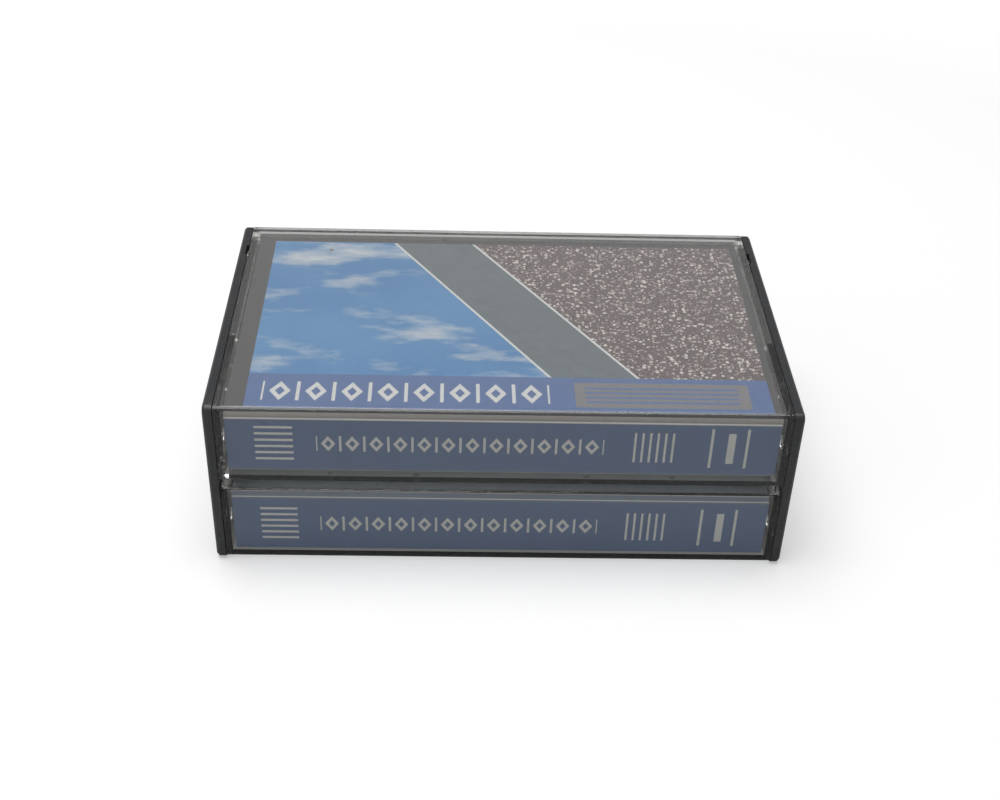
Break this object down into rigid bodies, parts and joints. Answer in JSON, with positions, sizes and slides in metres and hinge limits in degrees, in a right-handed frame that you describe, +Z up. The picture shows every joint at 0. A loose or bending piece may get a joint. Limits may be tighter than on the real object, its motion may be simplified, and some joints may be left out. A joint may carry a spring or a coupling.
{
  "type": "cassette tape case",
  "caption": "Double cassette tape case: black centre tray between clear hinged lids that open up and down, each holding a folded inlay card and a cassette.",
  "frame": {"origin": "bottom centre of the case, on the surface that it rests on", "axes": "+X along the spine, +Y from the spine to the opening edge, +Z up"},
  "size_m": [0.109, 0.07, 0.035],
  "materials": {
    "black_plastic": "satin black moulded polystyrene",
    "clear_plastic": "clear polished polystyrene",
    "printed_card": "coated printed card",
    "shell_plastic": "fine matt pale grey polystyrene",
    "window_plastic": "clear polystyrene",
    "label_paper": "smooth label paper",
    "liner_film": "graphite coated slip film",
    "tape": "dark brown oxide tape",
    "pin_steel": "ground steel",
    "felt": "pressed felt",
    "spring_bronze": "phosphor bronze strip",
    "shield_metal": "nickel iron sheet",
    "screw_steel": "zinc plated steel",
    "hub_plastic": "white moulded acetal",
    "roller_plastic": "white moulded acetal"
  },
  "bodies": {
    "centre": {"centre_tray": "black_plastic"},
    "upper_lid_group": {"upper_lid": "clear_plastic", "upper_inlay_card": "printed_card", "upper_cassette_half_a": "shell_plastic", "upper_cassette_half_b": "shell_plastic", "upper_window_a": "window_plastic", "upper_window_b": "window_plastic", "upper_label_a": "label_paper", "upper_label_b": "label_paper", "upper_liner_a": "liner_film", "upper_liner_b": "liner_film", "upper_tape_run": "tape", "upper_roller_pins": "pin_steel", "upper_pressure_pad": "felt", "upper_pad_spring": "spring_bronze", "upper_shield_plate": "shield_metal", "upper_shell_screws": "screw_steel"},
    "upper_supply_reel": {"upper_supply_hub": "hub_plastic", "upper_supply_clip": "hub_plastic", "upper_supply_pack": "tape"},
    "upper_takeup_reel": {"upper_takeup_hub": "hub_plastic", "upper_takeup_clip": "hub_plastic", "upper_takeup_pack": "tape"},
    "upper_supply_roller": {"upper_supply_roller": "roller_plastic"},
    "upper_takeup_roller": {"upper_takeup_roller": "roller_plastic"},
    "lower_lid_group": {"lower_lid": "clear_plastic", "lower_inlay_card": "printed_card", "lower_cassette_half_a": "shell_plastic", "lower_cassette_half_b": "shell_plastic", "lower_window_a": "window_plastic", "lower_window_b": "window_plastic", "lower_label_a": "label_paper", "lower_label_b": "label_paper", "lower_liner_a": "liner_film", "lower_liner_b": "liner_film", "lower_tape_run": "tape", "lower_roller_pins": "pin_steel", "lower_pressure_pad": "felt", "lower_pad_spring": "spring_bronze", "lower_shield_plate": "shield_metal", "lower_shell_screws": "screw_steel"},
    "lower_supply_reel": {"lower_supply_hub": "hub_plastic", "lower_supply_clip": "hub_plastic", "lower_supply_pack": "tape"},
    "lower_takeup_reel": {"lower_takeup_hub": "hub_plastic", "lower_takeup_clip": "hub_plastic", "lower_takeup_pack": "tape"},
    "lower_supply_roller": {"lower_supply_roller": "roller_plastic"},
    "lower_takeup_roller": {"lower_takeup_roller": "roller_plastic"}
  },
  "joints": [
    {"name": "upper_lid_hinge", "type": "hinge", "parent": "centre", "child": "upper_lid_group", "pos_m": [0, -0.0308, 0.0268], "axis": [1, 0, 0], "range_deg": [0, 110]},
    {"name": "upper_supply_reel_spin", "type": "hinge", "parent": "upper_lid_group", "child": "upper_supply_reel", "pos_m": [-0.02125, 0.0019, 0.02685], "axis": [0, 0, 1], "continuous": true},
    {"name": "upper_takeup_reel_spin", "type": "hinge", "parent": "upper_lid_group", "child": "upper_takeup_reel", "pos_m": [0.02125, 0.0019, 0.02685], "axis": [0, 0, 1], "continuous": true},
    {"name": "upper_supply_roller_spin", "type": "hinge", "parent": "upper_lid_group", "child": "upper_supply_roller", "pos_m": [-0.0395, -0.0267, 0.02685], "axis": [0, 0, 1], "continuous": true},
    {"name": "upper_takeup_roller_spin", "type": "hinge", "parent": "upper_lid_group", "child": "upper_takeup_roller", "pos_m": [0.0395, -0.0267, 0.02685], "axis": [0, 0, 1], "continuous": true},
    {"name": "lower_lid_hinge", "type": "hinge", "parent": "centre", "child": "lower_lid_group", "pos_m": [0, -0.0308, 0.0082], "axis": [-1, 0, 0], "range_deg": [0, 110]},
    {"name": "lower_supply_reel_spin", "type": "hinge", "parent": "lower_lid_group", "child": "lower_supply_reel", "pos_m": [0.02125, 0.0019, 0.00815], "axis": [0, 0, -1], "continuous": true},
    {"name": "lower_takeup_reel_spin", "type": "hinge", "parent": "lower_lid_group", "child": "lower_takeup_reel", "pos_m": [-0.02125, 0.0019, 0.00815], "axis": [0, 0, -1], "continuous": true},
    {"name": "lower_supply_roller_spin", "type": "hinge", "parent": "lower_lid_group", "child": "lower_supply_roller", "pos_m": [0.0395, -0.0267, 0.00815], "axis": [0, 0, -1], "continuous": true},
    {"name": "lower_takeup_roller_spin", "type": "hinge", "parent": "lower_lid_group", "child": "lower_takeup_roller", "pos_m": [-0.0395, -0.0267, 0.00815], "axis": [0, 0, -1], "continuous": true}
  ],
  "couplings": [
    {"joint": "upper_takeup_reel_spin", "follows": "upper_supply_reel_spin", "ratio": 2.1588},
    {"joint": "upper_supply_roller_spin", "follows": "upper_supply_reel_spin", "ratio": 8.3833},
    {"joint": "upper_takeup_roller_spin", "follows": "upper_supply_reel_spin", "ratio": 8.3833},
    {"joint": "lower_takeup_reel_spin", "follows": "lower_supply_reel_spin", "ratio": 2.1588},
    {"joint": "lower_supply_roller_spin", "follows": "lower_supply_reel_spin", "ratio": 8.3833},
    {"joint": "lower_takeup_roller_spin", "follows": "lower_supply_reel_spin", "ratio": 8.3833}
  ]
}
